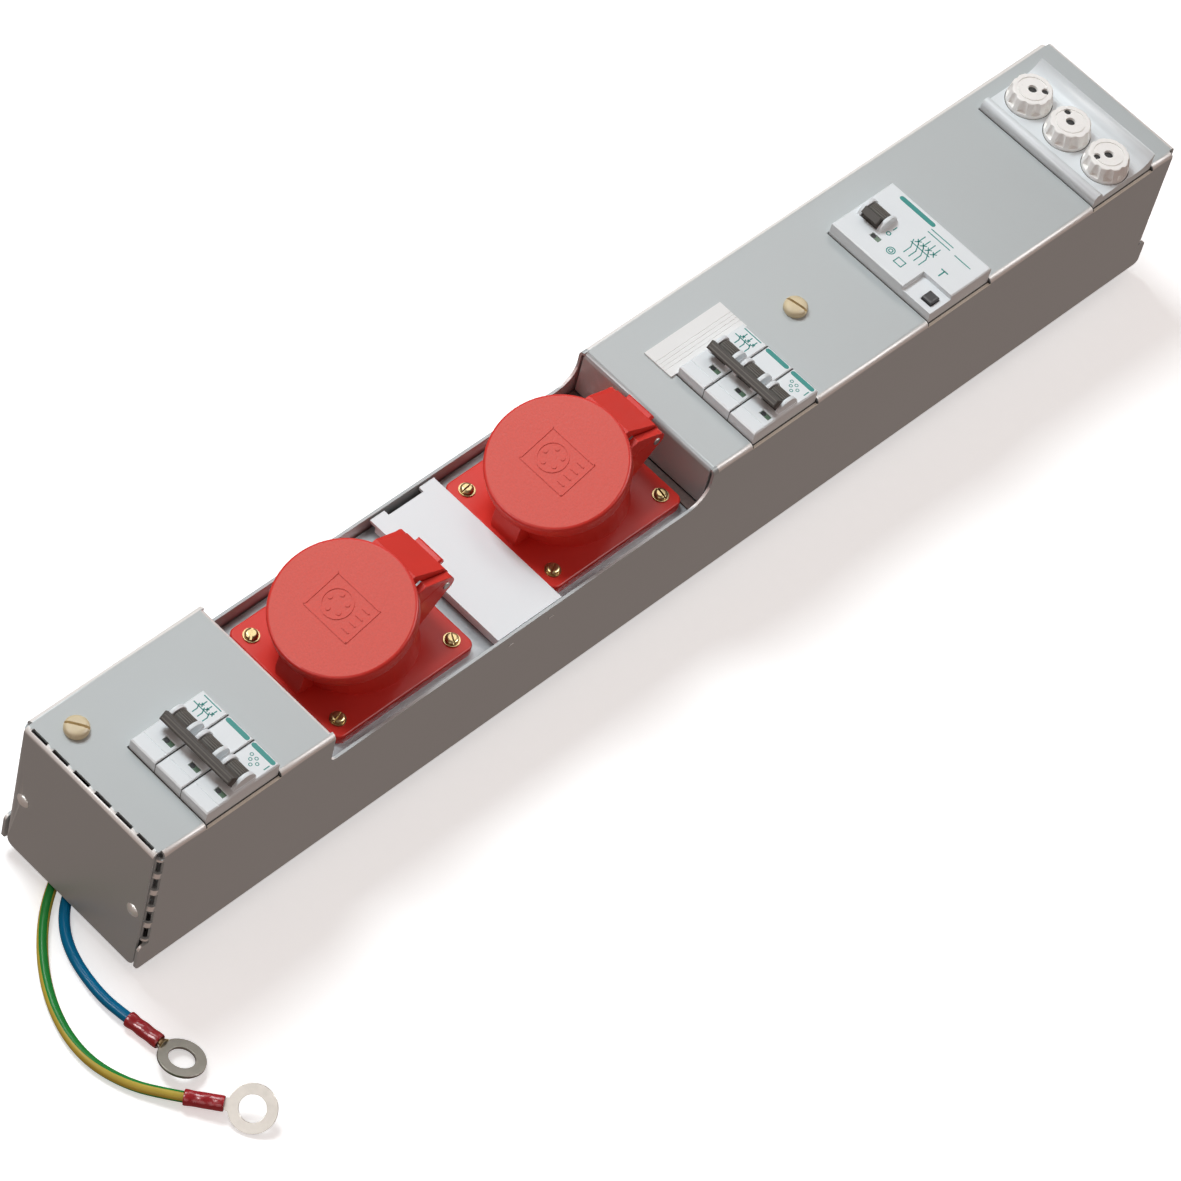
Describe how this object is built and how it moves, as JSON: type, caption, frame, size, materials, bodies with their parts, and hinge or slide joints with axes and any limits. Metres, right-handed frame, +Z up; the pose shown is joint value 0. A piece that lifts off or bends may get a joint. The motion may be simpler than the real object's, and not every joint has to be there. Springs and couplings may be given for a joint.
{
  "type": "industrial power strip",
  "caption": "Folded sheet-steel power strip with inclined lidded panel sockets, toggle breakers, a residual-current switch, screw-cap fuses and short lug-ended wires.",
  "frame": {"origin": "on the floor under the middle of the strip", "axes": "+X along the strip from the wire end to the fuse end, +Y from the near wall to the far wall, +Z up"},
  "size_m": [0.7575, 0.1944, 0.1219],
  "materials": {
    "hood_paint": "light grey, satin",
    "zinc": "zinc plated",
    "rivet": "plain",
    "nylon": "natural nylon",
    "white_plastic": "moulded",
    "switch_white": "moulded",
    "dark_plastic": "moulded",
    "black_plastic": "moulded",
    "green_plastic": "indicator",
    "porcelain": "glazed",
    "fuse_steel": "plated",
    "red_plastic": "moulded",
    "insert_black": "moulded",
    "brass": "plain",
    "rubber": "soft",
    "steel": "bright",
    "grey_plastic": "moulded",
    "earth_insulation": "green and yellow",
    "neutral_insulation": "blue",
    "crimp_red": "moulded",
    "tinned": "tinned"
  },
  "bodies": {
    "strip": {"hood": "hood_paint", "end_rivets": "rivet", "base_tray": "zinc", "cover_pillars": "zinc", "cover_screws": "nylon", "din_rails": "zinc", "rail_stands": "zinc", "switch_housing": "switch_white", "switch_window": "green_plastic", "module_blank": "white_plastic", "fuse_base": "porcelain", "fuse_cover": "white_plastic", "socket_carrier": "zinc", "blank_plate": "white_plastic", "earth_terminal": "grey_plastic", "neutral_terminal": "grey_plastic", "earth_wire": "earth_insulation", "neutral_wire": "neutral_insulation", "earth_sleeve": "crimp_red", "neutral_sleeve": "crimp_red", "earth_lug": "tinned", "neutral_lug": "tinned", "breaker_1_pole_1": "switch_white", "breaker_1_pole_2": "switch_white", "breaker_1_pole_3": "switch_white", "breaker_1_windows": "green_plastic", "socket_1_body": "red_plastic", "socket_1_insert": "insert_black", "socket_1_contacts": "brass", "socket_1_pin": "steel", "socket_1_spring": "steel", "socket_1_screws": "brass", "breaker_2_pole_1": "switch_white", "breaker_2_pole_2": "switch_white", "breaker_2_pole_3": "switch_white", "breaker_2_windows": "green_plastic", "socket_2_body": "red_plastic", "socket_2_insert": "insert_black", "socket_2_contacts": "brass", "socket_2_pin": "steel", "socket_2_spring": "steel", "socket_2_screws": "brass"},
    "socket_1_lid": {"socket_1_lid": "red_plastic", "socket_1_gasket": "rubber"},
    "socket_2_lid": {"socket_2_lid": "red_plastic", "socket_2_gasket": "rubber"},
    "breaker_1_toggles": {"breaker_1_toggles": "dark_plastic", "breaker_1_tie_bar": "dark_plastic"},
    "breaker_2_toggles": {"breaker_2_toggles": "dark_plastic", "breaker_2_tie_bar": "dark_plastic"},
    "switch_toggle": {"switch_toggle": "dark_plastic"},
    "switch_test_button": {"switch_test_button": "black_plastic"},
    "fuse_link_1": {"fuse_link_1": "fuse_steel"},
    "fuse_cap_1": {"fuse_cap_1": "porcelain"},
    "fuse_link_2": {"fuse_link_2": "fuse_steel"},
    "fuse_cap_2": {"fuse_cap_2": "porcelain"},
    "fuse_link_3": {"fuse_link_3": "fuse_steel"},
    "fuse_cap_3": {"fuse_cap_3": "porcelain"}
  },
  "joints": [
    {"name": "socket_1_lid_hinge", "type": "hinge", "parent": "strip", "child": "socket_1_lid", "pos_m": [-0.14523, 0, 0.10356], "axis": [0, 1, 0], "range_deg": [0, 105], "stiffness_Nm_per_rad": 0.06, "springref_deg": -57.3},
    {"name": "socket_2_lid_hinge", "type": "hinge", "parent": "strip", "child": "socket_2_lid", "pos_m": [-0.00373, 0, 0.10356], "axis": [0, 1, 0], "range_deg": [0, 105], "stiffness_Nm_per_rad": 0.06, "springref_deg": -57.3},
    {"name": "breaker_1_toggle_hinge", "type": "hinge", "parent": "strip", "child": "breaker_1_toggles", "pos_m": [-0.2975, -0.01885, 0.1044], "axis": [0, 1, 0], "range_deg": [0, 84]},
    {"name": "breaker_2_toggle_hinge", "type": "hinge", "parent": "strip", "child": "breaker_2_toggles", "pos_m": [0.0614, -0.01885, 0.1044], "axis": [0, 1, 0], "range_deg": [0, 84]},
    {"name": "switch_toggle_hinge", "type": "hinge", "parent": "strip", "child": "switch_toggle", "pos_m": [0.1845, 0.0134, 0.1061], "axis": [0, 1, 0], "range_deg": [0, 80]},
    {"name": "switch_test_button_slide", "type": "slide", "parent": "strip", "child": "switch_test_button", "axis": [0, 0, -1], "range_m": [0, 0.0015], "stiffness_N_per_m": 300, "springref_m": -0.002},
    {"name": "fuse_link_1_slide", "type": "slide", "parent": "strip", "child": "fuse_link_1", "axis": [0, 0, 1], "range_m": [0, 0.0045]},
    {"name": "fuse_cap_1_turn", "type": "hinge", "parent": "fuse_link_1", "child": "fuse_cap_1", "pos_m": [0.31, -0.0319, 0.1004], "axis": [0, 0, 1], "range_deg": [0, 540]},
    {"name": "fuse_link_2_slide", "type": "slide", "parent": "strip", "child": "fuse_link_2", "axis": [0, 0, 1], "range_m": [0, 0.0045]},
    {"name": "fuse_cap_2_turn", "type": "hinge", "parent": "fuse_link_2", "child": "fuse_cap_2", "pos_m": [0.31, -0.0049, 0.1004], "axis": [0, 0, 1], "range_deg": [0, 540]},
    {"name": "fuse_link_3_slide", "type": "slide", "parent": "strip", "child": "fuse_link_3", "axis": [0, 0, 1], "range_m": [0, 0.0045]},
    {"name": "fuse_cap_3_turn", "type": "hinge", "parent": "fuse_link_3", "child": "fuse_cap_3", "pos_m": [0.31, 0.0221, 0.1004], "axis": [0, 0, 1], "range_deg": [0, 540]}
  ],
  "couplings": [
    {"joint": "fuse_cap_1_turn", "follows": "fuse_link_1_slide", "rad_per_m": 2094.4},
    {"joint": "fuse_cap_2_turn", "follows": "fuse_link_2_slide", "rad_per_m": 2094.4},
    {"joint": "fuse_cap_3_turn", "follows": "fuse_link_3_slide", "rad_per_m": 2094.4}
  ]
}
